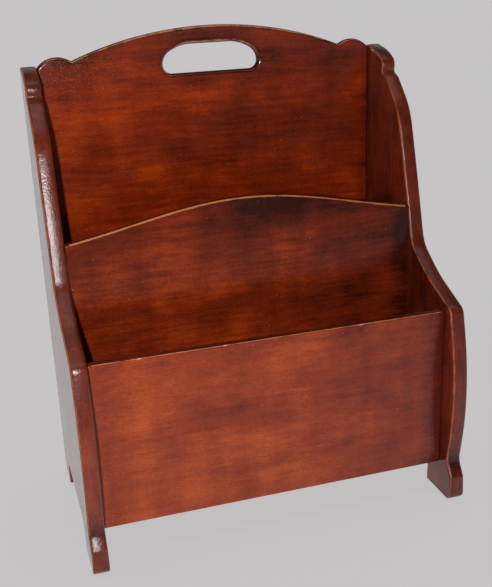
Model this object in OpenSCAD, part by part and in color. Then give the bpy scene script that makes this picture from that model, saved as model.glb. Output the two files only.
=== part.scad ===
// Magazine rack with two pockets. Two scrolled side boards carry a back panel
// with a hand slot, an arched divider, a straight front panel and a bottom
// board. The four boards are housed in stopped grooves in the sides, glued, and
// held with finishing nails driven through the sides, punched and filled.
//
// Origin: the middle of the footprint, on the floor.
// Axes: +X to the right, -Y towards the reader, +Z up. Sizes are in millimetres.

/* [Overall] */
// Clear width between the two side boards
inner_w = 360; // [240:1:560]
// Depth of a side board, from its belly to its back edge
side_d = 222; // [185:1:300]
// Height of a side board at its back edge
side_h = 456; // [375:1:580]

/* [Stock] */
// Thickness of the side boards
side_t = 16; // [13:0.5:25]
// Thickness of the back, divider, front and bottom boards
panel_t = 9; // [7:0.5:14]

/* [Back panel] */
// Rise of the middle arch above the tops of the side boards
arch_rise = 29.5; // [15:0.5:50]
// Width of the rounded ear at each end of the back panel
ear_w = 35; // [28:1:40]
// Radius of the ear
ear_r = 26; // [20:0.5:32]
// Height of the ear above the top of the side board
ear_rise = 7; // [5:0.5:10]
// Height of the notch beside the ear above the top of the side board
ear_notch = 2.3; // [0:0.1:4]
// Clear width of the hand slot
slot_w = 102; // [80:1:130]
// Clear height of the hand slot
slot_h = 29; // [22:1:40]
// Wood between the top of the hand slot and the crown of the arch
slot_cover = 18; // [14:1:30]

/* [Divider] */
// Clear depth of the front pocket
front_pocket = 75; // [55:1:95]
// Height of the divider where it meets the sides
divider_end_h = 297; // [255:1:360]
// Rise of the divider's arch above its ends
divider_rise = 28.5; // [10:0.5:45]

/* [Front panel] */
// Height of the front panel
front_h = 171.5; // [140:0.5:206]
// Set back of the front panel from the bellies of the sides
front_setback = 24.5; // [18:0.5:34]

/* [Feet and bottom] */
// Clearance under the front, bottom and back boards
foot_clear = 35.5; // [28:0.5:50]
// Height of the bottom board above the lower edges of the front and back
bottom_lift = 5.5; // [2:0.5:12]
// Height of the opening between the feet
foot_arch_h = 29; // [18:1:33]
// Length of a front foot along the floor, from belly to opening
front_foot = 52.5; // [40:0.5:65]
// Length of a rear foot along the floor
rear_foot = 40; // [30:1:55]

/* [Joints] */
// Depth to which a board's end is housed in the side
tongue = 5; // [3:0.5:8]
// Glue gap at the blind end of each groove
glue_gap = 0.5; // [0.2:0.1:1]
// Distance that the back panel's groove stops below the top of the side
back_stop = 32; // [28:1:60]
// Distance that the divider's groove stops below the divider's ends
divider_stop = 38; // [32:1:60]
// Distance that the front panel's groove stops below its top edge
front_stop = 16; // [8:1:30]

/* [Nails] */
// Length of a finishing nail
nail_len = 38; // [30:1:45]
// Diameter of the nail's shank
nail_d = 1.8; // [1.4:0.1:2.4]
// Diameter of the nail's head
nail_head_d = 2.8; // [2.6:0.1:4]
// Thickness of the nail's head
nail_head_t = 1.4; // [1:0.1:2]
// Depth to which the heads are punched and filled
nail_set = 1.6; // [1:0.1:2.5]
// Radial clearance around the nail in its hole
nail_fit = 0.05; // [0.02:0.01:0.1]
// Distance from the end of a groove to its first nail
nail_margin = 22; // [15:1:30]

/* [Hidden] */
$fn = 96;

WOOD_SIDE = "#5f2413";
WOOD_PANEL = "#7a2f14";
WOOD_FRONT = "#84331b";
STEEL = "#8b8b88";
FILLER = "#4a1c10";

CUT = 1; // overshoot of a cutter past the face that it opens
ARC_STEP = 7; // degrees turned for each point of a rounded corner
FLARE_POINTS = 24; // points along each half of the divider's top

// Places along Y, from the front to the back
belly_y = -side_d / 2;
back_y = side_d / 2;
front_y = belly_y + front_setback;
divider_y = front_y + panel_t + front_pocket;
back_panel_y = back_y - panel_t;

// Places along X and Z
side_x = inner_w / 2;
outer_x = side_x + side_t;
bottom_z = foot_clear + bottom_lift;
floor_z = bottom_z + panel_t; // inside floor of the pockets
front_top_z = foot_clear + front_h;

// Ends of the grooves
back_stop_z = side_h - back_stop;
divider_stop_z = divider_end_h - divider_stop;
front_stop_z = front_top_z - front_stop;

// ---------------------------------------------------------------- outlines

function flat(p) = [p[0], p[1]];
function unit(v) = v / norm(v);
function mix(a, b, across, up) = [a[0] + (b[0] - a[0]) * across, a[1] + (b[1] - a[1]) * up];

// Corners of a list are counted round, and a leg runs from one to its neighbour
function item(list, i) = list[(i + len(list)) % len(list)];
function leg(corners, i, step) = flat(item(corners, i + step)) - flat(item(corners, i));

// Half of the angle between the two legs of a corner
function half_angle(corners, i) =
    acos(unit(leg(corners, i, -1)) * unit(leg(corners, i, 1))) / 2;

// How much of its legs a corner's arc would take
function wanted(corners, i) = item(corners, i)[2] / tan(half_angle(corners, i));

// What it may take of one leg: all it wants, or its share where two arcs meet
function allowed(corners, i, step) =
    let (mine = wanted(corners, i), both = mine + wanted(corners, i + step))
    both == 0 ? 0 : mine * min(1, norm(leg(corners, i, step)) / both);

// The arc that takes the place of corner i
function corner_arc(corners, i) =
    let (
        p = flat(item(corners, i)),
        half = half_angle(corners, i),
        reach = min(allowed(corners, i, -1), allowed(corners, i, 1)),
        r = reach * tan(half),
        back = unit(leg(corners, i, -1)),
        ahead = unit(leg(corners, i, 1)),
        centre = p + unit(back + ahead) * r / sin(half),
        start = p + back * reach - centre,
        from = atan2(start[1], start[0]),
        turn = (180 - 2 * half) * (cross(back, ahead) < 0 ? 1 : -1),
        steps = max(2, ceil(abs(turn) / ARC_STEP))
    )
    r == 0 ? [p] : [
        for (k = [0:steps])
            centre + r * [cos(from + turn * k / steps), sin(from + turn * k / steps)]
    ];

// A closed outline from a list of corners [across, up, radius]
function rounded(corners) = [
    for (i = [0:len(corners) - 1]) each corner_arc(corners, i)
];

// Side board, seen from +X: [y, z, radius], up the back, down the scrolled front
// and along the feet. The sweep runs from the notch below the nose to the neck,
// which lies just in front of the divider.
notch = [back_y - 43.5, side_h - 26.5];
neck = [divider_y - 8.5, divider_end_h - 40];
shoulder = [front_y - 10.5, front_top_z + 4.5];

side_corners = [
    [back_y, 0, 1.5],
    [back_y, side_h, 3],
    [back_y - 28, side_h - 4.5, 70],
    [back_y - 47.5, side_h - 16, 11],
    concat(notch, 2.5),
    concat(mix(notch, neck, 0.13, 0.026), 9),
    concat(mix(notch, neck, 0.51, 0.20), 75),
    concat(mix(notch, neck, 0.77, 0.61), 320),
    concat(neck, 27),
    concat(mix(neck, shoulder, 0.40, 0.53), 160),
    concat(shoulder, 9),
    [belly_y - 6.7, (foot_clear + front_top_z) / 2 + 3, 300],
    [front_y - 15, foot_clear + 4, 20],
    [belly_y - 0.3, foot_clear / 2 + 4, 14],
    [belly_y + 1, 0, 9],
    [belly_y + front_foot, 0, 1.5],
    [belly_y + front_foot, foot_arch_h, 14],
    [back_y - rear_foot, foot_arch_h, 14],
    [back_y - rear_foot, 0, 1.5]
];

// Top edge of the divider: half a bell and half an arch, so that its ends flare
// out level into the sides
function divider_top(t) = divider_end_h + divider_rise * ((1 + cos(180 * t)) / 4 + (1 - t * t) / 2);

// Hand slot: flat at the bottom and gently arched at the top, with round ends
function slot_corners(top) = [
    [-slot_w / 2, top - slot_h, 9],
    [slot_w / 2, top - slot_h, 9],
    [slot_w / 2, top - slot_h * 0.36, 12],
    [slot_w * 0.3, top, 40],
    [-slot_w * 0.3, top, 40],
    [-slot_w / 2, top - slot_h * 0.36, 12]
];

// ------------------------------------------------------------------ pieces

// A standing board: an X-Z outline made into a board whose front face is at y
module standing(y) {
    translate([0, y + panel_t, 0]) rotate([90, 0, 0]) linear_extrude(panel_t) children();
}

// X-Z rectangle, centred across, from z0 up to z1
module upright(w, z0, z1) {
    translate([-w / 2, z0]) square([w, z1 - z0]);
}

// Groove in the inner face of the right side board
module groove(y0, y1, z0, z1) {
    translate([side_x - CUT, y0, z0]) cube([tongue + glue_gap + CUT, y1 - y0, z1 - z0]);
}

// Evenly spaced places, margin in from both ends
function spaced(a, b, n) = [
    for (i = [0:n - 1]) a + nail_margin + (b - a - 2 * nail_margin) * i / (n - 1)
];

// [y, z] of each nail through one side board
back_nail_at = [
    for (z = spaced(foot_clear, back_stop_z, 5)) [back_panel_y + panel_t / 2, z]
];
divider_nail_at = [
    for (z = spaced(floor_z, divider_stop_z, 3)) [divider_y + panel_t / 2, z]
];
front_nail_at = [
    for (z = spaced(bottom_z, front_stop_z, 3)) [front_y + panel_t / 2, z]
];
bottom_nail_at = [
    for (y = spaced(front_y + panel_t, back_panel_y, 3)) [y, bottom_z + panel_t / 2]
];
all_nail_at = concat(back_nail_at, divider_nail_at, front_nail_at, bottom_nail_at);

// Places its children at each spot on the right side, or on both sides, with
// their local Z pointing out of the rack
module at_spots(spots) {
    for (spot = spots) translate([0, spot[0], spot[1]]) rotate([0, 90, 0]) children();
}
module on_both_sides() {
    children();
    mirror([1, 0, 0]) children();
}

head_x = outer_x - nail_set; // outer end of a nail
point_x = head_x - nail_len; // tip of a nail

module nails(spots) {
    color(STEEL) on_both_sides() at_spots(spots) {
        translate([0, 0, point_x]) cylinder(h = nail_len - nail_head_t, d = nail_d, $fn = 24);
        translate([0, 0, head_x - nail_head_t])
            cylinder(h = nail_head_t, d = nail_head_d, $fn = 24);
    }
}

// Holes for the nails, in the sides and in the ends of the boards
module nail_holes(spots) {
    at_spots(spots) {
        translate([0, 0, point_x])
            cylinder(h = nail_len, d = nail_d + 2 * nail_fit, $fn = 24);
        translate([0, 0, head_x - nail_head_t])
            cylinder(h = nail_head_t + nail_set + CUT, d = nail_head_d + 2 * nail_fit, $fn = 24);
    }
}

module right_side() {
    color(WOOD_SIDE) difference() {
        translate([side_x, 0, 0]) rotate([90, 0, 90]) linear_extrude(side_t)
            polygon(rounded(side_corners));
        groove(back_panel_y, back_y + CUT, foot_clear, back_stop_z);
        groove(divider_y, divider_y + panel_t, floor_z - CUT, divider_stop_z);
        groove(front_y, front_y + panel_t, foot_clear, front_stop_z);
        groove(front_y + panel_t - CUT, back_panel_y + CUT, bottom_z, floor_z);
        nail_holes(all_nail_at);
    }
}

module side_right() {
    right_side();
}

module side_left() {
    mirror([1, 0, 0]) right_side();
}

module back_panel() {
    top = side_h + arch_rise;
    ear_z = side_h + ear_rise - ear_r;
    // The arch and both ears pass through the notches between them
    notch_x = side_x - ear_w;
    ear_x = notch_x + sqrt(pow(ear_r, 2) - pow(side_h + ear_notch - ear_z, 2));
    sag = arch_rise - ear_notch;
    arch_r = (pow(notch_x, 2) + pow(sag, 2)) / (2 * sag);
    color(WOOD_PANEL) difference() {
        standing(back_panel_y) difference() {
            union() {
                upright(inner_w + 2 * tongue, foot_clear, back_stop_z);
                upright(inner_w, foot_clear, ear_z);
                intersection() {
                    translate([0, top - arch_r]) circle(arch_r, $fn = 360);
                    upright(inner_w, ear_z - CUT, top + CUT);
                }
                intersection() {
                    union() {
                        translate([ear_x, ear_z]) circle(ear_r);
                        translate([-ear_x, ear_z]) circle(ear_r);
                    }
                    upright(inner_w, ear_z - CUT, top + CUT);
                }
            }
            polygon(rounded(slot_corners(top - slot_cover)));
        }
        on_both_sides() nail_holes(back_nail_at);
    }
}

module divider_panel() {
    color(WOOD_PANEL) difference() {
        standing(divider_y) {
            upright(inner_w + 2 * tongue, floor_z, divider_stop_z);
            polygon(concat(
                [[-side_x, floor_z], [side_x, floor_z]],
                [for (i = [FLARE_POINTS:-1:-FLARE_POINTS])
                    [side_x * i / FLARE_POINTS, divider_top(i / FLARE_POINTS)]]
            ));
        }
        on_both_sides() nail_holes(divider_nail_at);
    }
}

module front_panel() {
    color(WOOD_FRONT) difference() {
        standing(front_y) {
            upright(inner_w + 2 * tongue, foot_clear, front_stop_z);
            upright(inner_w, foot_clear, front_top_z);
        }
        on_both_sides() nail_holes(front_nail_at);
    }
}

module bottom_board() {
    length = inner_w + 2 * tongue;
    depth = back_panel_y - front_y - panel_t;
    color(WOOD_PANEL) difference() {
        translate([-length / 2, front_y + panel_t, bottom_z]) cube([length, depth, panel_t]);
        on_both_sides() nail_holes(bottom_nail_at);
    }
}

module back_nails() {
    nails(back_nail_at);
}

module divider_nails() {
    nails(divider_nail_at);
}

module front_nails() {
    nails(front_nail_at);
}

module bottom_nails() {
    nails(bottom_nail_at);
}

module nail_hole_filler() {
    color(FILLER) on_both_sides() at_spots(all_nail_at)
        translate([0, 0, head_x]) cylinder(h = nail_set, d = nail_head_d + 2 * nail_fit, $fn = 24);
}

side_left();
side_right();
back_panel();
divider_panel();
front_panel();
bottom_board();
back_nails();
divider_nails();
front_nails();
bottom_nails();
nail_hole_filler();
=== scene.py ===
import math

import bmesh
import bpy
from mathutils import Matrix, Vector
from mathutils.geometry import delaunay_2d_cdt
from mathutils.kdtree import KDTree


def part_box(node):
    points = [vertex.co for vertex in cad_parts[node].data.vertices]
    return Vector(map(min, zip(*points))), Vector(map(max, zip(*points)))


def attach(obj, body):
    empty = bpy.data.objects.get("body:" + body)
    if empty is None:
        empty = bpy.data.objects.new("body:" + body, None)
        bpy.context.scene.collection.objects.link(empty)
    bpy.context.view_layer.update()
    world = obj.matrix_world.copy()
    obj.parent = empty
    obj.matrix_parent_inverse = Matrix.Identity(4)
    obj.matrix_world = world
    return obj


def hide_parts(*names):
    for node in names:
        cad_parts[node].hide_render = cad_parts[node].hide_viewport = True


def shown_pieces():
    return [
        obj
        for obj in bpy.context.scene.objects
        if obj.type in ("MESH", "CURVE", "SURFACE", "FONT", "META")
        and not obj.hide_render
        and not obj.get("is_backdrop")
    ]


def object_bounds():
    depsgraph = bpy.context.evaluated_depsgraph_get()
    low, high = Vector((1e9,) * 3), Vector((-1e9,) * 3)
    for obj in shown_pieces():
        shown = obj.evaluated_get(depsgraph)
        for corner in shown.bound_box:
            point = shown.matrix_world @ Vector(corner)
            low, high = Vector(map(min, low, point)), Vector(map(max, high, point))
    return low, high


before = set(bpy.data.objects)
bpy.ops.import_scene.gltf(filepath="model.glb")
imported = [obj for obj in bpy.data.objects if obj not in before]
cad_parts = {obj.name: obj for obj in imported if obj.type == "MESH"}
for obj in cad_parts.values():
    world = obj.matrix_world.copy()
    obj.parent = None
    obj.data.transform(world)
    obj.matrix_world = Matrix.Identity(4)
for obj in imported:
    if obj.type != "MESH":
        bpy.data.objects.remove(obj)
cad_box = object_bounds()


# ============================================================== side boards
# Two scrolled boards of solid timber, 16 mm thick with the grain upright, sawn to
# one pattern: a crown, a notch, a long sweep, a shoulder, a belly and two feet.
# The edges are rounded over, then stained red-brown and varnished to a gloss.

side_near, side_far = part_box("side_right")
side_x = side_near.x
side_t = side_far.x - side_near.x
side_h = side_far.z
back_y = side_far.y
belly_y = -back_y
front_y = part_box("front_panel")[0].y
front_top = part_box("front_panel")[1].z
front_foot_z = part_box("front_panel")[0].z
divider_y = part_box("divider_panel")[0].y

FRONT_EASE = 0.0030  # radius of the round-over along the scrolled front edge
BACK_EASE = 0.0018
FOOT_EASE = 0.0010
SCROLL_SPACING = 0.003  # furthest apart that points of the outline stand
FACE_SPACING = 0.009  # the same across the flat faces
ARRIS_STEPS = 6
EDGE_STEPS = 6
FACE_BAND = 0.0008  # flat band kept beside each round-over
CROWNING = 0.13  # how far the edge bulges between its round-overs, in their radii
ARC_TURN = math.radians(4)  # most that an arc turns from point to point
TOUCHING = 1e-6
RIM_GAP = 0.6  # how clear of the rim the points on a face stand, in their spacing
SPARED_END = 0.0035
PIT_RADIUS = 0.00155  # of the holes over the punched nails
PIT_DEPTH = 0.00165
PIT_SIDES = 24
HEAD_RADIUS = 0.0014
NAIL_ROWS = (("back_nails", 5, "z"), ("divider_nails", 3, "z"),
             ("front_nails", 3, "z"), ("bottom_nails", 3, "y"))


def mix(a, b, across, up):
    return a[0] + (b[0] - a[0]) * across, a[1] + (b[1] - a[1]) * up


class Spot:
    """A point of an outline: its place, the direction out of the wood there, and the
    radius of its round-over. A point on a tight arc can draw in no further than the
    arc's centre, and from there it goes in along the corner's mitre."""

    def __init__(self, place, out, ease, tight=None):
        self.place, self.out, self.ease, self.tight = place, out, ease, tight

    def inset(self, distance):
        if self.tight and distance > self.tight[1]:
            centre, radius, mitre = self.tight
            return centre + mitre * (distance - radius)
        return self.place - self.out * distance


def outline(corners, spacing, hole=False):
    """Turns corners (across, up, radius, ease), listed anticlockwise, into Spots with
    an arc at each corner. In a hole the wood is on the outside."""
    count = len(corners)
    spots = [Vector(corner[:2]) for corner in corners]
    halves = []
    for i, spot in enumerate(spots):
        halves.append((spots[i - 1] - spot).angle(spots[(i + 1) % count] - spot) / 2)
    wanted = [corner[2] / math.tan(half) for corner, half in zip(corners, halves)]

    def allowed(i, j):
        both = wanted[i] + wanted[j]
        return wanted[i] * min(1, (spots[i] - spots[j]).length / both) if both else 0

    arcs = []
    for i, spot in enumerate(spots):
        after = (i + 1) % count
        back = (spots[i - 1] - spot).normalized()
        ahead = (spots[after] - spot).normalized()
        reach = min(allowed(i, i - 1), allowed(i, after))
        radius = reach * math.tan(halves[i])
        turn = math.pi - 2 * halves[i]
        bend = 1 if back.cross(ahead) < 0 else -1
        mitre = (back + ahead).normalized() / math.sin(halves[i])
        centre = spot + mitre * radius
        tight = (centre, radius, mitre) if bend == (-1 if hole else 1) else None
        spoke = spot + back * reach - centre
        steps = max(2, math.ceil(turn / ARC_TURN), math.ceil(radius * turn / spacing))
        arc = []
        for k in range(steps + 1):
            arm = Matrix.Rotation(bend * turn * k / steps, 2) @ spoke
            out = arm.normalized() * (-bend if hole else bend)
            arc.append(Spot(centre + arm, out, corners[i][3], tight))
        arcs.append(arc)

    points = []
    for arc, following in zip(arcs, arcs[1:] + arcs[:1]):
        points += arc
        start, end = arc[-1], following[0]
        run = end.place - start.place
        pieces = max(1, math.ceil(run.length / spacing))
        for k in range(1, pieces):
            ease = start.ease + (end.ease - start.ease) * k / pieces
            points.append(Spot(start.place + run * k / pieces, start.out, ease))
    return [point for point, before in zip(points, points[-1:] + points[:-1])
            if (point.place - before.place).length > TOUCHING]


def within(spot, loop):
    """Whether a spot lies inside a closed loop of points."""
    inside = False
    for a, b in zip(loop, loop[1:] + loop[:1]):
        if (a.y > spot.y) != (b.y > spot.y):
            if spot.x < a.x + (b.x - a.x) * (spot.y - a.y) / (b.y - a.y):
                inside = not inside
    return inside


def fill_flat(loops, spacing):
    """Triangles inside the first loop and outside the others, with a grid of points
    inside so that no triangle is long. Returns the grid's points and the triangles,
    which count the loops' points first."""
    rim = [point for loop in loops for point in loop]
    edges, start = [], 0
    for loop in loops:
        size = len(loop)
        edges += [(start + i, start + (i + 1) % size) for i in range(size)]
        start += size
    near = KDTree(len(rim))
    for i, point in enumerate(rim):
        near.insert((*point, 0), i)
    near.balance()
    across, up = [p.x for p in rim], [p.y for p in rim]
    inside = []
    for i in range(int((max(across) - min(across)) / spacing)):
        for j in range(int((max(up) - min(up)) / spacing)):
            spot = Vector((min(across) + (i + 0.5 + 0.5 * (j % 2)) * spacing,
                           min(up) + (j + 0.5) * spacing))
            if near.find((*spot, 0))[2] > RIM_GAP * spacing:
                inside.append(spot)
    inside_only = 1
    spots, _, faces, sources = delaunay_2d_cdt(rim + inside, edges, [], inside_only, 1e-7)[:4]
    triangles = []
    for face in faces:
        middle = sum((spots[k] for k in face), Vector((0, 0))) / 3
        if not any(within(middle, hole) for hole in loops[1:]):
            triangles.append([sources[k][0] for k in face])
    return inside, triangles


def board(name, loops, place, thickness, front_wear=1.0, back_wear=0.5, pits=()):
    """A board with rounded-over edges, slightly crowned between them. place puts
    (across, up, depth) in the frame. Its "arris" value is 1 along the middle of each
    round-over, and its "edge" value is 0 on the faces and 1 between the round-overs.
    pits are the centres of the punched nail holes in the far face."""
    # Stations round the edge: radii in from the outline, radii and thicknesses deep,
    # and the values of arris and edge
    section = []
    for k in range(ARRIS_STEPS + 1):
        turn = math.pi / 2 * k / ARRIS_STEPS
        section.append((1 - math.sin(turn) + CROWNING, 1 - math.cos(turn), 0,
                        front_wear * math.sin(2 * turn) ** 2, math.sin(turn)))
    far_side = [(inset, -eases, 1, worn * back_wear / front_wear, edge)
                for inset, eases, _, worn, edge in reversed(section)]
    for k in range(1, EDGE_STEPS):
        share = k / EDGE_STEPS
        section.append((CROWNING * (2 * share - 1) ** 2, 1 - 2 * share, share, 0, 1))
    section += far_side

    shape = bmesh.new()
    arris = shape.verts.layers.float.new("arris")
    on_edge = shape.verts.layers.float.new("edge")

    def ring(loop, inset, eases, thicknesses, worn, edge):
        made = []
        for spot in loop:
            deep = spot.ease * eases + thickness * thicknesses
            vert = shape.verts.new(place(*spot.inset(spot.ease * inset), deep))
            vert[arris] = worn
            vert[on_edge] = edge
            made.append(vert)
        return made

    def rim_of(loop):
        return [spot.inset(spot.ease * (1 + CROWNING) + FACE_BAND) for spot in loop]

    rims = {0.0: [], thickness: []}
    for loop in loops:
        rings = [ring(loop, *station) for station in section]
        near, far = [[shape.verts.new(place(*spot, deep)) for spot in rim_of(loop)] for deep in rims]
        rings = [near] + rings + [far]
        for first, second in zip(rings, rings[1:]):
            for i in range(len(loop)):
                shape.faces.new((first[i - 1], first[i], second[i], second[i - 1]))
        rims[0.0] += near
        rims[thickness] += far

    for deep, rim in rims.items():
        mouths = [[Vector(pit) + Matrix.Rotation(math.tau * k / PIT_SIDES, 2) @ Vector((PIT_RADIUS, 0))
                   for k in range(PIT_SIDES)] for pit in pits if deep]
        verts = list(rim)
        for mouth in mouths:
            lip = [shape.verts.new(place(*spot, deep)) for spot in mouth]
            sole = [shape.verts.new(place(*spot, deep - PIT_DEPTH)) for spot in mouth]
            shape.faces.new(sole)
            for i in range(PIT_SIDES):
                wall = shape.faces.new((lip[i - 1], lip[i], sole[i], sole[i - 1]))
                for edge in wall.edges:
                    edge.smooth = False
            verts += lip
        inside, triangles = fill_flat([rim_of(loop) for loop in loops] + mouths, FACE_SPACING)
        verts += [shape.verts.new(place(*spot, deep)) for spot in inside]
        for triangle in triangles:
            shape.faces.new([verts[k] for k in triangle])
    bmesh.ops.remove_doubles(shape, verts=shape.verts, dist=TOUCHING)
    loose = [vert for vert in shape.verts if not vert.link_faces]
    bmesh.ops.delete(shape, geom=loose, context="VERTS")
    bmesh.ops.recalc_face_normals(shape, faces=shape.faces)
    for face in shape.faces:
        face.smooth = True
    mesh = bpy.data.meshes.new(name)
    shape.to_mesh(mesh)
    shape.free()
    made = bpy.data.objects.new(name, mesh)
    bpy.context.scene.collection.objects.link(made)
    return made


def spare_ends(piece):
    """Clears the rubbing at the two ends, which meet the sides."""
    arris = piece.data.attributes["arris"].data
    for vert in piece.data.vertices:
        if abs(vert.co.x) > side_x - SPARED_END:
            arris[vert.index].value = 0.0


def zone_at(place, zones):
    """Sum at a place of soft-bordered zones (centre, reach, strength)."""
    result = 0.0
    for centre, reach, strength in zones:
        away = sum(((a - b) / r) ** 2 for a, b, r in zip(place, centre, reach))
        result += strength * math.exp(-away)
    return result


def shade(piece, zones, name="tone"):
    """Stores soft zones where the piece is lighter or darker as its "tone", or another named value:
    some are the stain's own variation, some are painted shade and painted highlight.
    """
    tone = piece.data.attributes.new(name, "FLOAT", "POINT")
    for vert in piece.data.vertices:
        tone.data[vert.index].value = zone_at(vert.co, zones)


def rub(piece, zones):
    """Adds rubbing to the piece's edges in zones."""
    arris = piece.data.attributes["arris"].data
    on_edge = piece.data.attributes["edge"].data
    for vert in piece.data.vertices:
        more = arris[vert.index].value + zone_at(vert.co, zones) * on_edge[vert.index].value
        arris[vert.index].value = max(0.0, min(1.0, more))


def dent(piece, spots):
    """Presses each knock (centre, reach, depth) into the piece and marks it worn."""
    mesh = piece.data
    normals = [vert.normal.copy() for vert in mesh.vertices]
    arris = mesh.attributes["arris"].data
    for centre, reach, depth in spots:
        for vert in mesh.vertices:
            away = (vert.co - Vector(centre)).length / reach
            if away < 1:
                press = (1 - away * away) ** 2
                vert.co -= normals[vert.index] * depth * press
                arris[vert.index].value += press
    mesh.update()


# Nodes: add() makes one with its sockets linked or set, the next few do sums.

def add(tree, kind, sockets=None, **settings):
    made = tree.nodes.new(kind)
    for name, value in settings.items():
        setattr(made, name, value)
    for key, value in (sockets or {}).items():
        if isinstance(value, bpy.types.NodeSocket):
            tree.links.new(value, made.inputs[key])
        else:
            made.inputs[key].default_value = value
    return made


def maths(tree, operation, *values):
    return add(tree, "ShaderNodeMath", dict(enumerate(values)), operation=operation).outputs[0]


def times(tree, a, b):
    return maths(tree, "MULTIPLY", a, b)


def less(tree, a, b):
    return maths(tree, "SUBTRACT", a, b)


def total(tree, *values):
    result = values[0]
    for value in values[1:]:
        result = maths(tree, "ADD", result, value)
    return result


def mapped(tree, value, start, end, low=0.0, high=1.0, **settings):
    """value from start to end, made low to high and held there."""
    return add(tree, "ShaderNodeMapRange", {
        "Value": value, "From Min": start, "From Max": end, "To Min": low, "To Max": high,
    }, **settings).outputs[0]


def new_group(name, kind, inputs, outputs):
    """A node group, with its inputs {name: (socket type, default)} and its outputs
    {name: socket type}. Returns the tree and its input sockets by name."""
    tree = bpy.data.node_groups.new(name, kind)
    for label, (socket, default) in inputs.items():
        made = tree.interface.new_socket(label, in_out="INPUT", socket_type="NodeSocket" + socket)
        if default is not None:
            made.default_value = default
    for label, socket in outputs.items():
        tree.interface.new_socket(label, in_out="OUTPUT", socket_type="NodeSocket" + socket)
    return tree, add(tree, "NodeGroupInput").outputs


def noise(tree, vector, stretch, detail=2.0, roughness=0.5):
    """Noise with stretch features to the metre along each axis."""
    drawn_out = add(tree, "ShaderNodeMapping", {"Vector": vector, "Scale": stretch})
    return add(tree, "ShaderNodeTexNoise", {
        "Vector": drawn_out.outputs[0], "Scale": 1.0, "Detail": detail, "Roughness": roughness,
    }).outputs["Fac"]


def swing(tree, value, amount):
    """value about its middle, times amount."""
    return times(tree, less(tree, value, 0.5), amount)


def build_timber():
    """Grain of the timber, running along X: the tone of the figure, the dark pores
    and the height of the surface."""
    tree, given = new_group(
        "timber", "ShaderNodeTree",
        {"Vector": ("Vector", None), "Figure": ("Float", 1.0), "Streaks": ("Float", 1.0)},
        {"Tone": "Float", "Pores": "Float", "Height": "Float"},
    )
    drift = add(tree, "ShaderNodeTexNoise", {"Vector": given["Vector"], "Scale": 7.0, "Detail": 1.0})
    pulled = add(tree, "ShaderNodeVectorMath", {
        0: drift.outputs["Color"], 1: (0.0, 0.010, 0.010), 2: given["Vector"],
    }, operation="MULTIPLY_ADD").outputs[0]
    figure = noise(tree, pulled, (14, 30, 30), 4.0, 0.6)
    bands = noise(tree, pulled, (45, 9, 9), 3.0)
    streaks = noise(tree, pulled, (20, 250, 250), 4.0, 0.6)
    fibres = noise(tree, pulled, (330, 1100, 1100), 3.0, 0.6)
    tone = total(
        tree,
        times(tree, swing(tree, figure, 0.85), given["Figure"]),
        times(tree, swing(tree, bands, 0.36), given["Figure"]),
        times(tree, swing(tree, streaks, 0.48), given["Streaks"]),
        swing(tree, fibres, 0.50),
    )
    flecks = noise(tree, pulled, (180, 1500, 1500), 1.0)
    pores = mapped(tree, flecks, 0.60, 0.72, interpolation_type="SMOOTHSTEP")
    height = less(tree, times(tree, fibres, 0.3), pores)
    add(tree, "NodeGroupOutput", {"Tone": tone, "Pores": pores, "Height": height})
    return tree


def build_rubbing():
    """Where the stain has rubbed off: along the arrises, broken up unevenly."""
    tree, given = new_group(
        "rubbing", "ShaderNodeTree",
        {"Vector": ("Vector", None), "Arris": ("Float", 0.0), "Amount": ("Float", 0.4)},
        {"Worn": "Float"},
    )
    patches = noise(tree, given["Vector"], (55, 55, 55), 3.0, 0.6)
    nicks = noise(tree, given["Vector"], (420, 420, 420), 2.0)
    worn = total(tree, given["Arris"], swing(tree, patches, 1.1), swing(tree, nicks, 0.4))
    edge = less(tree, 1.0, given["Amount"])
    worn = mapped(tree, worn, edge, total(tree, edge, 0.35), interpolation_type="SMOOTHSTEP")
    add(tree, "NodeGroupOutput", {"Worn": worn})
    return tree


def build_varnish():
    """Brushed varnish: its ripple and orange peel as a height in metres, coarse on the
    sawn edges, and a roughness that changes from place to place, with caught dust and painted sparkle."""
    tree, given = new_group(
        "varnish", "ShaderNodeTree",
        {"Vector": ("Vector", None), "Gloss": ("Float", 0.15), "Edge": ("Float", 0.0),
         "Peel": ("Float", 1.0), "Sparkle": ("Float", 0.0)},
        {"Roughness": "Float", "Height": "Float", "Specks": "Float"},
    )
    ripple = noise(tree, given["Vector"], (38, 38, 38), 2.0)
    peel = noise(tree, given["Vector"], (560, 560, 560), 3.0)
    haze = noise(tree, given["Vector"], (17, 17, 17), 3.0)
    coarse = noise(tree, given["Vector"], (520, 520, 520), 2.0, 0.7)
    edge_peel = times(tree, given["Edge"], given["Peel"])
    height = total(
        tree, times(tree, ripple, 0.00007), times(tree, peel, 0.00004),
        times(tree, coarse, times(tree, edge_peel, 0.00022)),
    )

    def dots(per_metre, size):
        """Dots of a size, one to each cell, and a lot from 0 to 1 drawn for each cell."""
        cells = add(tree, "ShaderNodeTexVoronoi", {"Vector": given["Vector"], "Scale": per_metre})
        lots = add(tree, "ShaderNodeSeparateColor", {0: cells.outputs["Color"]}).outputs[0]
        return maths(tree, "LESS_THAN", cells.outputs["Distance"], size), lots

    # caught dust: a few specks scattered everywhere
    bits, lots = dots(130.0, 0.055)
    bits = times(tree, bits, maths(tree, "GREATER_THAN", lots, 0.80))
    # painted sparkle: finer pale dots that stand for the lamp's glints in the varnish, where the piece
    # asks for them
    sparkle_dots, lots = dots(700.0, 0.30)
    sparkle_dots = times(tree, sparkle_dots, maths(tree, "GREATER_THAN", given["Sparkle"], lots))
    specks = maths(tree, "MAXIMUM", bits, times(tree, sparkle_dots, 0.35))
    height = total(tree, height, times(tree, specks, 0.0001))
    rough = total(tree, given["Gloss"], swing(tree, haze, 0.10), times(tree, specks, 0.2),
                  times(tree, edge_peel, 0.10))
    add(tree, "NodeGroupOutput", {"Roughness": rough, "Height": height, "Specks": specks})
    return tree


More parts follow.
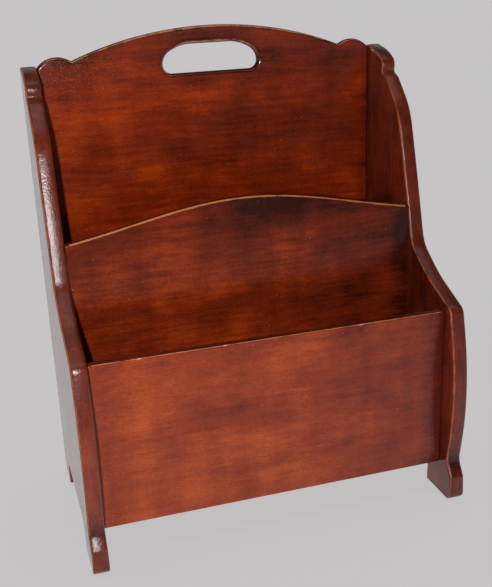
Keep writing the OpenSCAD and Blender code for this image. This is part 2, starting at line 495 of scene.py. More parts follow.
FRESH_WOOD = (0.85, 0.52, 0.30)
# pale colour of the specks: caught dust, and painted sparkle where the piece asks for it
DUST_AND_SPARKLE = (0.62, 0.40, 0.30)
timber = build_timber()
rubbing = build_rubbing()
varnish = build_varnish()


def use(tree, group, sockets):
    return add(tree, "ShaderNodeGroup", sockets, node_tree=group).outputs


def attribute(tree, name):
    return add(tree, "ShaderNodeAttribute", attribute_name=name).outputs["Fac"]


def new_finish(name):
    """A material, its tree, its shader, and the places in the piece's own frame."""
    material = bpy.data.materials.new(name)
    material.use_nodes = True
    tree = material.node_tree
    place = add(tree, "ShaderNodeTexCoord").outputs["Object"]
    return material, tree, tree.nodes["Principled BSDF"], place


def coloured(tree, value, first, last, *between):
    """A colour that follows value through stops (position, colour)."""
    ramp = add(tree, "ShaderNodeValToRGB", {"Fac": value})
    stops = ramp.color_ramp.elements
    for stop, (position, colour) in zip(stops, (first, last)):
        stop.position = position
        stop.color = (*colour, 1)
    for position, colour in between:
        stops.new(position).color = (*colour, 1)
    return ramp.outputs[0]


def dress(tree, shader, colour, roughness, height):
    """Gives the shader its colour, roughness and height, which is in metres."""
    bump = add(tree, "ShaderNodeBump", {"Height": height, "Strength": 1.0, "Distance": 1.0})
    for key, value in (("Base Color", colour), ("Roughness", roughness), ("Normal", bump.outputs[0])):
        tree.links.new(value, shader.inputs[key])


def stained_wood(name, stains, upright=False, start=(0, 0, 0), figure=1.0, streaks=1.0,
                 worn=0.4, bare=(0.55, 0.20, 0.07), gloss=0.15, peel=0.4, edge_darkening=0.12, ior=1.46):
    """Stained and varnished wood. stains are the dark, middle and light colours of
    the figure, start is where in the log the board was cut, and edge_darkening is
    how much darker the edges are made."""
    material, tree, shader, place = new_finish(name)
    along = add(tree, "ShaderNodeMapping", {
        "Vector": place, "Location": start,
        "Rotation": (0, math.pi / 2 if upright else 0, 0),
    }).outputs[0]
    grain = use(tree, timber, {"Vector": along, "Figure": figure, "Streaks": streaks})
    arris = attribute(tree, "arris")
    edge = attribute(tree, "edge")
    # the tone holds the stain's own lighter and darker zones together with painted shade and painted
    # highlight, and the edges are made darker on top of it
    stain_and_shade = less(tree, attribute(tree, "tone"), times(tree, edge, edge_darkening))
    film = use(tree, varnish, {
        "Vector": along, "Gloss": gloss, "Edge": edge, "Peel": peel,
        "Sparkle": attribute(tree, "sparkle")})
    rubbed = use(tree, rubbing, {"Vector": along, "Arris": arris, "Amount": worn})["Worn"]

    def cover(below, above, share):
        return add(tree, "ShaderNodeMix", {0: share, 6: below, 7: (*above, 1)},
                   data_type="RGBA").outputs[2]

    figured = coloured(tree, total(tree, grain["Tone"], 0.5, stain_and_shade),
                       (0.12, stains[0]), (0.92, stains[2]), (0.5, stains[1]))
    pored = cover(figured, [0.5 * part for part in stains[0]], times(tree, grain["Pores"], 0.35))
    bared = cover(pored, bare, times(tree, rubbed, 0.85))
    chipped = cover(bared, FRESH_WOOD, mapped(tree, arris, 1.05, 1.5))
    dusted_and_sparkled = cover(chipped, DUST_AND_SPARKLE, times(tree, film["Specks"], 0.6))
    roughness = total(tree, film["Roughness"], times(tree, rubbed, 0.12))
    height = total(tree, film["Height"], times(tree, grain["Height"], 0.00002),
                   times(tree, rubbed, -0.00012))
    dress(tree, shader, dusted_and_sparkled, roughness, height)
    shader.inputs["IOR"].default_value = ior
    return material


side_wood = stained_wood(
    "stained mahogany, upright",
    ((0.030, 0.0045, 0.0022), (0.145, 0.018, 0.0065), (0.34, 0.052, 0.012)),
    upright=True, start=(0.3, 0.1, 0.7), figure=0.9, worn=0.45, bare=(0.42, 0.10, 0.03), gloss=0.13,
    peel=1.3, edge_darkening=0.05, ior=1.52,
)

# The sweep runs from the notch below the crown to the neck in front of the divider
notch = (back_y - 0.0435, side_h - 0.0265)
neck = (divider_y - 0.0085, 0.257)
shoulder = (front_y - 0.0105, front_top + 0.0045)
side_corners = [
    (back_y, 0, 0.0030, FOOT_EASE),
    (back_y, side_h, 0.0035, BACK_EASE),
    (back_y - 0.028, side_h - 0.0045, 0.070, FRONT_EASE),
    (back_y - 0.0475, side_h - 0.016, 0.011, FRONT_EASE),
    (*notch, 0.0025, FRONT_EASE),
    (*mix(notch, neck, 0.13, 0.026), 0.009, FRONT_EASE),
    (*mix(notch, neck, 0.51, 0.20), 0.075, FRONT_EASE),
    (*mix(notch, neck, 0.77, 0.61), 0.320, FRONT_EASE),
    (*neck, 0.027, FRONT_EASE),
    (*mix(neck, shoulder, 0.40, 0.53), 0.160, FRONT_EASE),
    (*shoulder, 0.012, FRONT_EASE),
    (belly_y - 0.0067, (front_foot_z + front_top) / 2 + 0.003, 0.300, FRONT_EASE),
    (front_y - 0.0145, front_foot_z + 0.0075, 0.014, FRONT_EASE),
    (belly_y, front_foot_z / 2 + 0.0095, 0.006, FRONT_EASE),
    (belly_y + 0.001, 0, 0.009, FOOT_EASE),
    (belly_y + 0.0525, 0, 0.0025, FOOT_EASE),
    (belly_y + 0.0525, 0.029, 0.014, BACK_EASE),
    (back_y - 0.040, 0.029, 0.014, BACK_EASE),
    (back_y - 0.040, 0, 0.0025, FOOT_EASE),
]
scroll = outline(side_corners, SCROLL_SPACING)


def row_spots(node, count, axis):
    """Centres of a row of nail heads on both sides, from the row's box."""
    near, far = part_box(node)
    middle = (near + far) / 2
    rise = Vector((0, 1, 0)) if axis == "y" else Vector((0, 0, 1))
    half = rise * (((far - near).dot(rise)) / 2 - HEAD_RADIUS)
    return [Vector((x, middle.y, middle.z)) - half + half * 2 * k / (count - 1)
            for x in (near.x, far.x) for k in range(count)]


head_spots = [spot for row in NAIL_ROWS for spot in row_spots(*row)]
for side, hand, inner_wear, outer_wear in (("left", -1, 0.45, 0.9), ("right", 1, 0.9, 0.75)):
    piece = board(
        "side_board_" + side, [scroll],
        lambda across, up, depth: (hand * (side_x + depth), across, up), side_t,
        front_wear=inner_wear, back_wear=outer_wear,
        pits=[(spot.y, spot.z) for spot in head_spots if spot.x * hand > 0],
    )
    shade(piece, [
        # painted shade: the inner faces darker inside both pockets, where the lamp's light only grazes
        # them
        ((hand * side_x, -0.045, 0.23), (0.004, 0.045, 0.06), -0.22),
        ((hand * side_x, 0.06, 0.30), (0.004, 0.05, 0.08), -0.06),
        # painted shade: darker in the crease above each front toe and along the feet's bottoms by the
        # floor
        ((hand * (side_x + 0.008), front_y - 0.015, front_foot_z + 0.008), (0.02, 0.02, 0.008), -0.25),
        ((hand * (side_x + 0.008), belly_y, 0.0), (0.02, 0.05, 0.006), -0.14),
        # painted highlight: the left board lighter on its belly and toe, where the lamp glares on its
        # front edge
        ((-side_x - 0.008, belly_y, 0.12), (0.02, 0.03, 0.08), 0.22),
        ((-side_x - 0.008, belly_y, 0.0), (0.02, 0.03, 0.03), 0.16),
    ])
    piece.data.materials.append(side_wood)
    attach(piece, "root")
    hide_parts("side_" + side)


# ============================================================= bottom board
# A plain board laid across between the front and back boards, on which the
# magazines stand. It is housed in the sides and shows only inside the pockets.

bottom_near, bottom_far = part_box("bottom_board")
panel_t = bottom_far.z - bottom_near.z
PLAIN_EASE = 0.0006
panel_stains = ((0.035, 0.0042, 0.0016), (0.185, 0.0165, 0.0030), (0.46, 0.050, 0.0050))
panel_wood = stained_wood("stained mahogany, bottom", panel_stains, start=(1.3, 0.4, 0.2), worn=0.1)


def rectangle(x0, x1, z0, z1, radius, ease):
    return [(x0, z0, radius, ease), (x1, z0, radius, ease),
            (x1, z1, radius, ease), (x0, z1, radius, ease)]


bottom = board(
    "bottom_board_boarded",
    [outline(rectangle(-side_x, side_x, bottom_near.y, bottom_far.y, 0.001, PLAIN_EASE), 0.012)],
    lambda across, up, depth: (across, up, bottom_far.z - depth), panel_t,
)
shade(bottom, [])
bottom.data.materials.append(panel_wood)
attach(bottom, "root")
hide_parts("bottom_board")


# ============================================================== front panel
# A straight board between the sides. Its top edge is where hands and magazines
# rub, so the stain has gone from the front arris, which is chipped in places.

front_near, front_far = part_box("front_panel")
FRONT_PANEL_EASE = 0.0016
front_wood = stained_wood(
    "stained mahogany, front",
    ((0.090, 0.0090, 0.0045), (0.290, 0.0360, 0.0078), (0.54, 0.098, 0.014)),
    start=(0.2, 1.9, 0.5), figure=0.95, streaks=0.75, worn=0.40, bare=(0.55, 0.19, 0.07), gloss=0.20,
    edge_darkening=0.35,
)
front = board(
    "front_panel_board",
    [outline(rectangle(-side_x, side_x, front_near.z, front_far.z, 0.002, FRONT_PANEL_EASE), 0.0015)],
    lambda across, up, depth: (across, front_near.y + depth, up), front_far.y - front_near.y,
    front_wear=1.0, back_wear=0.3,
)
spare_ends(front)
shade(front, [
    ((0.15, front_y, 0.12), (0.08, 1, 0.14), -0.18),
    # painted shade: darker at the right end, in the corner against the right side board
    ((0.182, front_y, 0.12), (0.018, 1, 0.16), -0.36),
    ((-0.13, front_y, 0.16), (0.05, 1, 0.02), -0.05),
    ((-0.137, front_y, 0.11), (0.010, 1, 0.09), 0.13),
    ((-0.10, front_y, 0.13), (0.02, 1, 0.03), -0.10),
    ((-0.02, front_y, 0.13), (0.07, 1, 0.012), -0.08),
    # painted shade: darker at the left end, in the corner where the left side board shades it
    ((-0.170, front_y, 0.12), (0.012, 1, 0.12), -0.08),
    ((-0.02, front_y, 0.07), (0.12, 1, 0.035), 0.09),
])
dent(front, [
    ((0.088, front_y, front_top), 0.0035, 0.0012),
    ((-0.050, front_y, front_top), 0.0025, 0.0006),
    ((-0.132, front_y, front_top), 0.0034, 0.0008),
])
front.data.materials.append(front_wood)
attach(front, "root")
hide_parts("front_panel")


# ================================================================== divider
# A board between the pockets, arched along its top. The arch follows one rule,
# half a bell and half a bow, and its ends flare out level into the sides. The
# front arris has rubbed down to bare wood.

divider_near, divider_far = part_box("divider_panel")
DIVIDER_RISE = 0.0285
DIVIDER_EASE = 0.0022
DIVIDER_STATIONS = 241
DIVIDER_SECTION = 101


def store(tree, geometry, name, value):
    return add(tree, "GeometryNodeStoreNamedAttribute", {
        "Geometry": geometry, "Name": name, "Value": value,
    }, data_type="FLOAT", domain="POINT").outputs[0]


def read(tree, name):
    return add(tree, "GeometryNodeInputNamedAttribute", {"Name": name}, data_type="FLOAT").outputs[0]


def line(tree, start, end, count):
    made = add(tree, "GeometryNodeCurvePrimitiveLine", {"Start": start, "End": end})
    return add(tree, "GeometryNodeResampleCurve", {"Curve": made.outputs[0], "Count": count},
               mode="COUNT").outputs[0]


def parts_of(tree, vector):
    """The X, Y and Z of a vector."""
    return add(tree, "ShaderNodeSeparateXYZ", {0: vector}).outputs


def vector_of(tree, x=0.0, y=0.0, z=0.0):
    return add(tree, "ShaderNodeCombineXYZ", {0: x, 1: y, 2: z}).outputs[0]


def own_place(tree):
    return parts_of(tree, add(tree, "GeometryNodeInputPosition").outputs[0])


def end_with(tree, geometry, material):
    """Ends a tree in plain geometry of one material."""
    real = add(tree, "GeometryNodeRealizeInstances", {"Geometry": geometry})
    done = add(tree, "GeometryNodeSetMaterial", {"Geometry": real.outputs[0], "Material": material})
    add(tree, "NodeGroupOutput", {"Geometry": done.outputs[0]})


def build_arched_board():
    """A board from -Half Length to Half Length, whose top is at End Height at its
    ends and Rise higher in the middle. A strip runs up the front, over and down."""
    tree, given = new_group(
        "arched board", "GeometryNodeTree",
        {"Half Length": ("Float", 0.18), "Front": ("Float", 0.0), "Thickness": ("Float", 0.009),
         "Foot": ("Float", 0.05), "End Height": ("Float", 0.3), "Rise": ("Float", 0.03),
         "Ease": ("Float", 0.002), "Band": ("Float", 0.0015), "Stations": ("Int", 200),
         "Section Points": ("Int", 97), "Wood": ("Material", None)},
        {"Geometry": "Geometry"},
    )

    # Round the section: up the front to 0.26, a flat band to 0.3, an arc to 0.45,
    # across to 0.55, an arc to 0.7, another band to 0.74 and down the back
    way = add(tree, "GeometryNodeSplineParameter").outputs["Factor"]
    arcs = total(tree, mapped(tree, way, 0.30, 0.45), mapped(tree, way, 0.55, 0.70))
    turn = times(tree, arcs, math.pi / 2)
    width = less(tree, given["Thickness"], times(tree, given["Ease"], 2.0))
    depth = total(
        tree, given["Ease"], times(tree, width, mapped(tree, way, 0.45, 0.55)),
        times(tree, maths(tree, "COSINE", turn), times(tree, given["Ease"], -1.0)),
    )
    on_band = maths(tree, "MINIMUM", mapped(tree, way, 0.26, 0.30), mapped(tree, way, 0.74, 0.70))
    bend = maths(tree, "SINE", turn)
    curl = total(tree, times(tree, given["Band"], on_band), times(tree, bend, given["Ease"]))
    climb = maths(tree, "MINIMUM", mapped(tree, way, 0.0, 0.26), mapped(tree, way, 1.0, 0.74))
    doubled = maths(tree, "ABSOLUTE", maths(tree, "SINE", times(tree, turn, 2.0)))
    front_half = less(tree, 1.0, times(tree, maths(tree, "GREATER_THAN", way, 0.5), 0.6))
    section = line(tree, (0, 0, 0), (1, 0, 0), given["Section Points"])
    for label, value in (("depth", depth), ("curl", curl), ("climb", climb),
                         ("arris", times(tree, front_half, doubled)), ("edge", bend)):
        section = store(tree, section, label, value)
    depth, curl, climb = [read(tree, label) for label in ("depth", "curl", "climb")]
    laid = vector_of(tree, depth, total(tree, times(tree, climb, 0.2), curl))
    section = add(tree, "GeometryNodeSetPosition", {"Geometry": section, "Position": laid}).outputs[0]
    section = add(tree, "GeometryNodeSetSplineCyclic", {"Geometry": section, "Cyclic": True}).outputs[0]

    rail = line(tree, (-1, 0, 0), (1, 0, 0), given["Stations"])
    rail = store(tree, rail, "along", own_place(tree)["X"])
    swept = add(tree, "GeometryNodeCurveToMesh", {
        "Curve": rail, "Profile Curve": section, "Fill Caps": True}).outputs[0]

    along = read(tree, "along")
    bell = times(tree, total(tree, maths(tree, "COSINE", times(tree, along, math.pi)), 1.0), 0.25)
    bow = times(tree, less(tree, 1.0, times(tree, along, along)), 0.5)
    top = total(tree, given["End Height"], times(tree, given["Rise"], total(tree, bell, bow)))
    straight = less(tree, top, total(tree, given["Ease"], given["Band"], given["Foot"]))
    place = vector_of(
        tree, times(tree, along, given["Half Length"]), total(tree, given["Front"], depth),
        total(tree, given["Foot"], times(tree, straight, climb), curl),
    )
    moved = add(tree, "GeometryNodeSetPosition", {"Geometry": swept, "Position": place}).outputs[0]
    facing = parts_of(tree, add(tree, "GeometryNodeInputNormal").outputs[0])
    sides = maths(tree, "LESS_THAN", maths(tree, "ABSOLUTE", facing["X"]), 0.9)
    smooth = add(tree, "GeometryNodeSetShadeSmooth", {
        "Geometry": moved, "Shade Smooth": sides}, domain="FACE").outputs[0]
    end_with(tree, smooth, given["Wood"])
    return tree


def grow(name, tree, sizes, seed_mesh=None):
    """Runs a tree with the named sizes and returns its result as a plain mesh piece."""
    starter = bpy.data.objects.new(name, seed_mesh or bpy.data.meshes.new(name))
    bpy.context.scene.collection.objects.link(starter)
    modifier = starter.modifiers.new(tree.name, "NODES")
    modifier.node_group = tree
    for item in tree.interface.items_tree:
        if item.in_out == "INPUT" and item.name in sizes:
            modifier[item.identifier] = sizes[item.name]
    grown = starter.evaluated_get(bpy.context.evaluated_depsgraph_get())
    mesh = bpy.data.meshes.new_from_object(grown)
    mesh.name = name
    starter.modifiers.clear()
    starter.data = mesh
    return starter


def turn_out(piece):
    """Makes all faces of the piece point outwards."""
    shape = bmesh.new()
    shape.from_mesh(piece.data)
    bmesh.ops.recalc_face_normals(shape, faces=shape.faces)
    shape.to_mesh(piece.data)
    shape.free()


divider_wood = stained_wood(
    "stained mahogany, divider",
    ((0.034, 0.0045, 0.0018), (0.180, 0.0175, 0.0032), (0.46, 0.058, 0.0055)),
    start=(0.9, 0.2, 1.1), worn=0.62, bare=(0.62, 0.19, 0.05), gloss=0.22,
)
divider = grow("divider_board", build_arched_board(), {
    "Half Length": side_x, "Front": divider_near.y, "Thickness": divider_far.y - divider_near.y,
    "Foot": divider_near.z, "End Height": divider_far.z - DIVIDER_RISE, "Rise": DIVIDER_RISE,
    "Ease": DIVIDER_EASE, "Band": FACE_BAND, "Stations": DIVIDER_STATIONS,
    "Section Points": DIVIDER_SECTION, "Wood": divider_wood,
})
turn_out(divider)
spare_ends(divider)
shade(divider, [
    ((0.02, divider_y, 0.315), (0.08, 1, 0.022), -0.38),
    ((0.15, divider_y, 0.24), (0.09, 1, 0.12), -0.16),
    ((-0.10, divider_y, 0.21), (0.09, 1, 0.05), 0.05),
    ((-0.16, divider_y, 0.285), (0.05, 1, 0.03), -0.14),
    # painted shade: darker at the right end, in the corner against the right side board
    ((0.178, divider_y, 0.25), (0.016, 1, 0.14), -0.30),
])
rub(divider, [((0.09, divider_y, 0.32), (0.09, 1, 0.05), -0.30)])
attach(divider, "root")
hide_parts("divider_panel")


# =============================================================== back panel
# The board that everything hangs on: a bow between two round ears along its top,
# and a hand slot under the bow, its edges rounded over for the fingers.

back_near, back_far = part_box("back_panel")
ARCH_RISE = back_far.z - side_h
EAR_WIDTH = 0.035
EAR_RADIUS = 0.026
EAR_RISE = 0.007
EAR_NOTCH = 0.0023
SLOT_WIDTH = 0.102
SLOT_HEIGHT = 0.029
SLOT_COVER = 0.018
BACK_PANEL_EASE = 0.0028
SLOT_EASE = 0.0042
EAR_SPACING = 0.002
BOW_SPACING = 0.003
LOWER_SPACING = 0.0045
UPRIGHT_SPACING = 0.006

ear_z = side_h + EAR_RISE - EAR_RADIUS
notch_x = side_x - EAR_WIDTH
notch_z = side_h + EAR_NOTCH
ear_x = notch_x + math.sqrt(EAR_RADIUS ** 2 - (notch_z - ear_z) ** 2)
sag = ARCH_RISE - EAR_NOTCH
arch_radius = (notch_x ** 2 + sag ** 2) / (2 * sag)


def edge_spot(place, out):
    return Spot(Vector(place), Vector(out), BACK_PANEL_EASE)


def arc_points(centre, radius, start, end, spacing):
    """Points along an arc with the direction out of it, both ends included."""
    steps = math.ceil(abs(end - start) * radius / spacing)
    made = []
    for k in range(steps + 1):
        turn = start + (end - start) * k / steps
        out = Vector((math.cos(turn), math.sin(turn)))
        made.append(edge_spot(Vector(centre) + out * radius, out))
    return made


def angle_at(centre, x, z):
    return math.atan2(z - centre[1], x - centre[0])


def straight(start, end, out, spacing):
    run = Vector(end) - Vector(start)
    steps = math.ceil(run.length / spacing)
    return [edge_spot(Vector(start) + run * k / steps, out) for k in range(1, steps)]


right_ear = (ear_x, ear_z)
bow = (0.0, back_far.z - arch_radius)
ear_side_z = ear_z + math.sqrt(EAR_RADIUS ** 2 - (side_x - ear_x) ** 2)
half_top = (
    arc_points(right_ear, EAR_RADIUS, angle_at(right_ear, side_x, ear_side_z),
               angle_at(right_ear, notch_x, notch_z), EAR_SPACING)
    + arc_points(bow, arch_radius, angle_at(bow, notch_x, notch_z), math.pi / 2, BOW_SPACING)
)
other_half = [edge_spot((-spot.place.x, spot.place.y), (-spot.out.x, spot.out.y))
              for spot in reversed(half_top)]
low_left, low_right = (-side_x, back_near.z), (side_x, back_near.z)
top_left, top_right = (-side_x, ear_side_z), (side_x, ear_side_z)
back_loop = (
    [edge_spot(low_left, (-1, -1))] + straight(low_left, low_right, (0, -1), LOWER_SPACING)
    + [edge_spot(low_right, (1, -1))] + straight(low_right, top_right, (1, 0), UPRIGHT_SPACING)
    + half_top + other_half[1:] + straight(top_left, low_left, (-1, 0), UPRIGHT_SPACING)
)

slot_top = back_far.z - SLOT_COVER
slot_low = slot_top - SLOT_HEIGHT
slot_bend = slot_top - SLOT_HEIGHT * 0.36
slot_corners = [
    (-SLOT_WIDTH / 2, slot_low, 0.009, SLOT_EASE),
    (SLOT_WIDTH / 2, slot_low, 0.009, SLOT_EASE),
    (SLOT_WIDTH / 2, slot_bend, 0.016, SLOT_EASE),
    (SLOT_WIDTH * 0.3, slot_top, 0.040, SLOT_EASE),
    (-SLOT_WIDTH * 0.3, slot_top, 0.040, SLOT_EASE),
    (-SLOT_WIDTH / 2, slot_bend, 0.016, SLOT_EASE),
]
back_wood = stained_wood(
    "stained mahogany, back",
    ((0.050, 0.0055, 0.0018), (0.225, 0.0200, 0.0026), (0.54, 0.062, 0.0042)),
    start=(0.5, 0.7, 0.1), worn=0.30, bare=(0.60, 0.25, 0.11), gloss=0.15, edge_darkening=0.25,
)
back = board(
    "back_panel_board", [back_loop, outline(slot_corners, 0.002, hole=True)],
    lambda across, up, depth: (across, back_near.y + depth, up), back_far.y - back_near.y,
    front_wear=1.0, back_wear=0.6,
)
spare_ends(back)
shade(back, [
    ((-0.13, back_near.y, 0.40), (0.05, 1, 0.035), 0.14),
    ((-0.06, back_near.y, 0.425), (0.05, 1, 0.016), 0.08),
    ((0.02, back_near.y, 0.37), (0.07, 1, 0.02), -0.10),
    ((0.13, back_near.y, 0.38), (0.09, 1, 0.10), -0.14),
    # painted shade: darker at the right end, in the corner against the right side board
    ((0.181, back_near.y, 0.39), (0.010, 1, 0.12), -0.20),
    # painted shadow: darker over the left ear, which the left side board shades
    ((-0.16, back_near.y, 0.465), (0.045, 1, 0.022), -0.31),
    ((0.0, back_near.y, 0.477), (0.10, 1, 0.006), -0.08),
    # painted shade: darker round the hand slot, where its rounded rim turns away from the lamp
    ((0.0, back_near.y, (slot_top + slot_low) / 2), (0.060, 1, 0.020), -0.34),
    ((-0.025, back_near.y, slot_low - 0.008), (0.030, 1, 0.007), -0.20),
])
# painted sparkle: more pale specks over the left ear, for the lamp's glints in its varnish
shade(back, [((-0.165, back_near.y, 0.468), (0.045, 0.004, 0.028), 0.75)], "sparkle")
rub(back, [
    ((-0.03, back_near.y + 0.001, back_far.z), (0.13, 0.0070, 0.014), 1.6),
    ((0.10, back_near.y + 0.001, back_far.z - 0.010), (0.05, 0.0035, 0.008), 0.4),
    ((0.0, back_near.y, slot_low), (0.07, 0.02, 0.02), -0.5),
])
back.data.materials.append(back_wood)
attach(back, "root")
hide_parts("back_panel")


# ========================================================= nails and filler
# Finishing nails of plain steel wire, driven through the sides into the ends of
# the boards and punched below the surface.

NAIL_LENGTH = 0.038
NAIL_RADIUS = 0.0009
HEAD_HEIGHT = 0.0014
POINT_LENGTH = 0.003
WIRE_SIDES = 20
NAIL_SEED = 3


def spots_mesh(name, spots):
    mesh = bpy.data.meshes.new(name)
    mesh.from_pydata([tuple(spot) for spot in spots], [], [])
    return mesh


def set_out_at_random(tree, given, part, material):
    """Sets the part at each point, its top facing out of the side board, turned at
    random about its own axis, and ends the tree."""
    out = vector_of(tree, maths(tree, "SIGN", own_place(tree)["X"]))
    aim = add(tree, "FunctionNodeAlignRotationToVector", {"Vector": out}, axis="Z")
    spin = add(tree, "FunctionNodeRandomValue", {
        "Min": (0, 0, 0), "Max": (0, 0, math.tau), "Seed": given["Seed"]}, data_type="FLOAT_VECTOR")
    spin_by = add(tree, "FunctionNodeEulerToRotation", {0: spin.outputs[0]})
    turned = add(tree, "FunctionNodeRotateRotation", {
        0: aim.outputs[0], 1: spin_by.outputs[0]}, rotation_space="LOCAL")
    placed = add(tree, "GeometryNodeInstanceOnPoints", {
        "Points": given["Geometry"], "Instance": part, "Rotation": turned.outputs[0]})
    end_with(tree, placed.outputs[0], material)


def build_driven():
    """Sets a wire nail at each point, its head outwards, turned at random."""
    tree, given = new_group(
        "driven nails", "GeometryNodeTree",
        {"Geometry": ("Geometry", None), "Length": ("Float", 0.038), "Shank": ("Float", 0.001),
         "Head": ("Float", 0.0014), "Head Height": ("Float", 0.0014), "Tip": ("Float", 0.003),
         "Seed": ("Int", 3), "Steel": ("Material", None)},
        {"Geometry": "Geometry"},
    )
    # Five rings: the head's top and underside, then the shank's top, bottom and point
    neck_drop = 0.0001
    neck_size = times(tree, given["Shank"], 1.1)
    point_size = 0.0001
    body = less(tree, less(tree, given["Length"], given["Tip"]),
                total(tree, given["Head Height"], neck_drop))
    ring = add(tree, "GeometryNodeInputIndex").outputs[0]
    under, top, bottom, point = [maths(tree, "GREATER_THAN", ring, k + 0.5) for k in range(4)]
    drop = total(
        tree, times(tree, under, given["Head Height"]), times(tree, top, neck_drop),
        times(tree, bottom, body), times(tree, point, given["Tip"]),
    )
    girth = total(
        tree, given["Head"], times(tree, under, less(tree, neck_size, given["Head"])),
        times(tree, top, less(tree, given["Shank"], neck_size)),
        times(tree, point, less(tree, point_size, given["Shank"])),
    )
    rail = line(tree, (0, 0, 0), (0, 0, -1), 5)
    rail = store(tree, store(tree, rail, "drop", drop), "girth", girth)
    rounds = add(tree, "GeometryNodeCurvePrimitiveCircle", {"Resolution": WIRE_SIDES, "Radius": 1.0})
    swept = add(tree, "GeometryNodeCurveToMesh", {
        "Curve": rail, "Profile Curve": rounds.outputs[0], "Fill Caps": True}).outputs[0]
    drop, girth = read(tree, "drop"), read(tree, "girth")
    where = own_place(tree)
    place = vector_of(tree, times(tree, where["X"], girth), times(tree, where["Y"], girth),
                      times(tree, drop, -1.0))
    nail = add(tree, "GeometryNodeSetPosition", {"Geometry": swept, "Position": place}).outputs[0]
    set_out_at_random(tree, given, nail, given["Steel"])
    return tree


def drawn_wire():
    """Plain steel wire, with fine draw marks along it and dull spots."""
    material, tree, shader, place = new_finish("drawn steel wire")
    marks = noise(tree, place, (60, 4000, 4000), 2.0)
    dull = noise(tree, place, (500, 500, 500), 3.0)
    steel = coloured(tree, dull, (0.0, (0.24, 0.22, 0.20)), (1.0, (0.56, 0.55, 0.53)))
    dress(tree, shader, steel, total(tree, 0.28, swing(tree, dull, 0.3)),
          times(tree, marks, 0.00002))
    shader.inputs["Metallic"].default_value = 1.0
    return material


driven = build_driven()
steel = drawn_wire()
for node, count, axis in NAIL_ROWS:
    spots = row_spots(node, count, axis)
    nails = grow(node + "_wire", driven, {
        "Length": NAIL_LENGTH, "Shank": NAIL_RADIUS, "Head": HEAD_RADIUS,
        "Head Height": HEAD_HEIGHT, "Tip": POINT_LENGTH, "Seed": NAIL_SEED, "Steel": steel,
    }, spots_mesh(node + "_spots", spots))
    turn_out(nails)
    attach(nails, "root")
    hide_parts(node)


# The heads lie 1.6 mm deep, and the holes over them are filled with dark stained
# filler, which has shrunk a little below the varnished face.

FILLER_RADIUS = 0.0015
FILLER_DISH = 0.00012
FILLER_SEED = 5


def build_plugs():
    """A dished plug of filler at each point, facing out and turned at random."""
    tree, given = new_group(
        "filler plugs", "GeometryNodeTree",
        {"Geometry": ("Geometry", None), "Radius": ("Float", 0.0015), "Depth": ("Float", 0.0015),
         "Dish": ("Float", 0.0001), "Seed": ("Int", 5), "Filler": ("Material", None)},
        {"Geometry": "Geometry"},
    )
    plug = add(tree, "GeometryNodeMeshCylinder", {
        "Vertices": PIT_SIDES, "Side Segments": 2, "Fill Segments": 4,
        "Radius": given["Radius"], "Depth": given["Depth"]}).outputs[0]
    where = own_place(tree)
    off_axis = add(tree, "ShaderNodeVectorMath", {0: vector_of(tree, where["X"], where["Y"])},
                   operation="LENGTH").outputs["Value"]
    away = maths(tree, "DIVIDE", off_axis, given["Radius"])
    hollow = less(tree, 1.0, times(tree, away, away))
    on_top = maths(tree, "GREATER_THAN", where["Z"], 0.0)
    sink = times(tree, on_top, times(tree, hollow, times(tree, given["Dish"], -1.0)))
    dished = add(tree, "GeometryNodeSetPosition", {"Geometry": plug, "Offset": vector_of(tree, z=sink)})
    lowered = add(tree, "GeometryNodeTransform", {
        "Geometry": dished.outputs[0],
        "Translation": vector_of(tree, z=times(tree, given["Depth"], -0.5))})
    set_out_at_random(tree, given, lowered.outputs[0], given["Filler"])
    return tree


def stained_filler():
    """Wood filler: dark, dull and grainy, with lighter grains here and there."""
    material, tree, shader, place = new_finish("stained filler")
    grains = noise(tree, place, (2600, 2600, 2600), 2.0)
    brown = coloured(tree, grains, (0.0, (0.035, 0.009, 0.005)), (1.0, (0.130, 0.040, 0.020)))
    dress(tree, shader, brown, total(tree, 0.42, swing(tree, grains, 0.4)),
          times(tree, grains, 0.00003))
    return material


side_face = side_far.x
hole_mouths = [Vector((math.copysign(side_face, spot.x), spot.y, spot.z)) for spot in head_spots]
plugs = grow("nail_hole_filler_plugs", build_plugs(), {
    "Radius": FILLER_RADIUS, "Depth": side_face - abs(head_spots[0].x), "Dish": FILLER_DISH,
    "Seed": FILLER_SEED, "Filler": stained_filler(),
}, spots_mesh("hole_mouths", hole_mouths))
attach(plugs, "root")
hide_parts("nail_hole_filler")


# ------------------------------------------------- stage, light and camera
# A pale sheet lies under the rack. One small soft lamp stands beside the camera,
# a broad soft light comes from above, and the room behind is pale.

SHEET = (0.216, 0.2133, 0.216)  # colour of the sheet
ROOM = (0.578, 0.565, 0.570)  # light that the sheet and the room give back
SHEET_NEAR = -0.95  # where the sheet ends towards the camera
SHEET_SIDE = 30
SHEET_FAR = 60
corners = [(-SHEET_SIDE, SHEET_NEAR, 0), (SHEET_SIDE, SHEET_NEAR, 0),
           (SHEET_SIDE, SHEET_FAR, 0), (-SHEET_SIDE, SHEET_FAR, 0)]
sheet_mesh = bpy.data.meshes.new("pale_floor")
sheet_mesh.from_pydata(corners, [], [(0, 1, 2, 3)])
floor = bpy.data.objects.new("pale_floor", sheet_mesh)
bpy.context.scene.collection.objects.link(floor)
cloth, tree, paint, place = new_finish("pale floor")
paint.inputs["Base Color"].default_value = (*SHEET, 1)
paint.inputs["Emission Color"].default_value = (*ROOM, 1)
fading = mapped(tree, parts_of(tree, place)["Y"], -1.0, -0.45, 0.25, 1.0)
looked_at = add(tree, "ShaderNodeLightPath").outputs["Is Camera Ray"]
glow = times(tree, maths(tree, "MAXIMUM", fading, looked_at), 0.90)
tree.links.new(glow, paint.inputs["Emission Strength"])
paint.inputs["Roughness"].default_value = 0.9
paint.inputs["Specular IOR Level"].default_value = 0.0
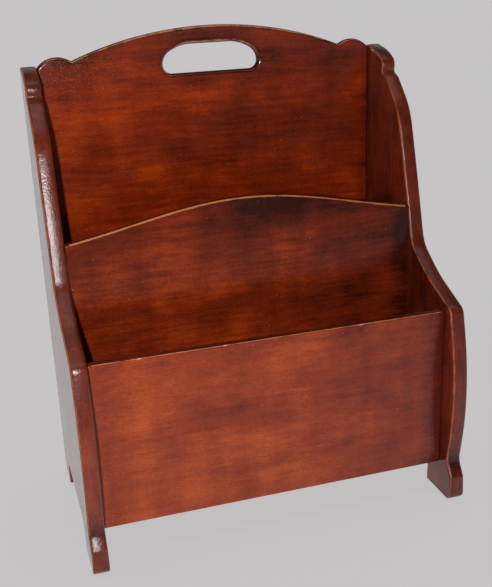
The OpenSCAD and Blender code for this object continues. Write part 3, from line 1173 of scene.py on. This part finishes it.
floor.data.materials.append(cloth)
floor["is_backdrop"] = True

CAMERA_AT = Vector((-0.2535, -0.8559, 0.5383))
CAMERA_TURN = math.radians(-16.368)
CAMERA_DROP = math.radians(19.455)
CAMERA_ROLL = math.radians(-2.363)
camera_data = bpy.data.cameras.new("camera")
camera_data.lens = 56.25
camera_data.sensor_width = 36
camera = bpy.data.objects.new("camera", camera_data)
camera.matrix_world = (
    Matrix.Translation(CAMERA_AT)
    @ Matrix.Rotation(CAMERA_TURN, 4, "Z")
    @ Matrix.Rotation(math.pi / 2 - CAMERA_DROP, 4, "X")
    @ Matrix.Rotation(CAMERA_ROLL, 4, "Z")
)
bpy.context.scene.collection.objects.link(camera)
bpy.context.scene.camera = camera


def lamp(name, kind, place, aim, **settings):
    data = bpy.data.lights.new(name, kind)
    for key, value in settings.items():
        setattr(data, key, value)
    made = bpy.data.objects.new(name, data)
    made.matrix_world = Matrix.Translation(place) @ (
        Vector(aim) - Vector(place)).to_track_quat("-Z", "Y").to_matrix().to_4x4()
    bpy.context.scene.collection.objects.link(made)
    return made


KEY_BESIDE_CAMERA = Vector((-0.073, 0.0, 0.0))
rack_middle = (cad_box[0] + cad_box[1]) / 2
key = lamp("key", "AREA", camera.matrix_world @ KEY_BESIDE_CAMERA, rack_middle,
           shape="DISK", size=0.03, energy=6.2)
lit_by_key = bpy.data.collections.new("lit by key")
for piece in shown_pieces():
    lit_by_key.objects.link(piece)
key.light_linking.receiver_collection = lit_by_key
lamp("overhead", "SUN", (0, 0, 2), (0, 0.05, 0), angle=math.radians(50), energy=0.4)

# The room: a pale band low behind the rack, and a paler one at the foot of its walls
world = bpy.data.worlds.new("pale room")
bpy.context.scene.world = world
world.use_nodes = True
sky = world.node_tree
way = parts_of(sky, add(sky, "ShaderNodeTexCoord").outputs["Generated"])
behind = mapped(sky, way["Y"], -0.10, 0.35)
low = mapped(sky, way["Z"], 0.65, 0.25)
above_floor = mapped(sky, way["Z"], -0.11, -0.05)
below_ceiling = mapped(sky, way["Z"], 0.15, 0.05)
seen = add(sky, "ShaderNodeLightPath").outputs["Is Camera Ray"]
far_wall = times(sky, times(sky, above_floor, below_ceiling), 0.85)
ambient = maths(sky, "MULTIPLY_ADD", times(sky, behind, low), 0.90, 0.05)
strength = maths(sky, "MAXIMUM", seen, maths(sky, "MAXIMUM", far_wall, ambient))
ground = sky.nodes["Background"]
ground.inputs["Color"].default_value = (*ROOM, 1)
sky.links.new(strength, ground.inputs["Strength"])
bpy.context.scene.view_settings.view_transform = "Standard"
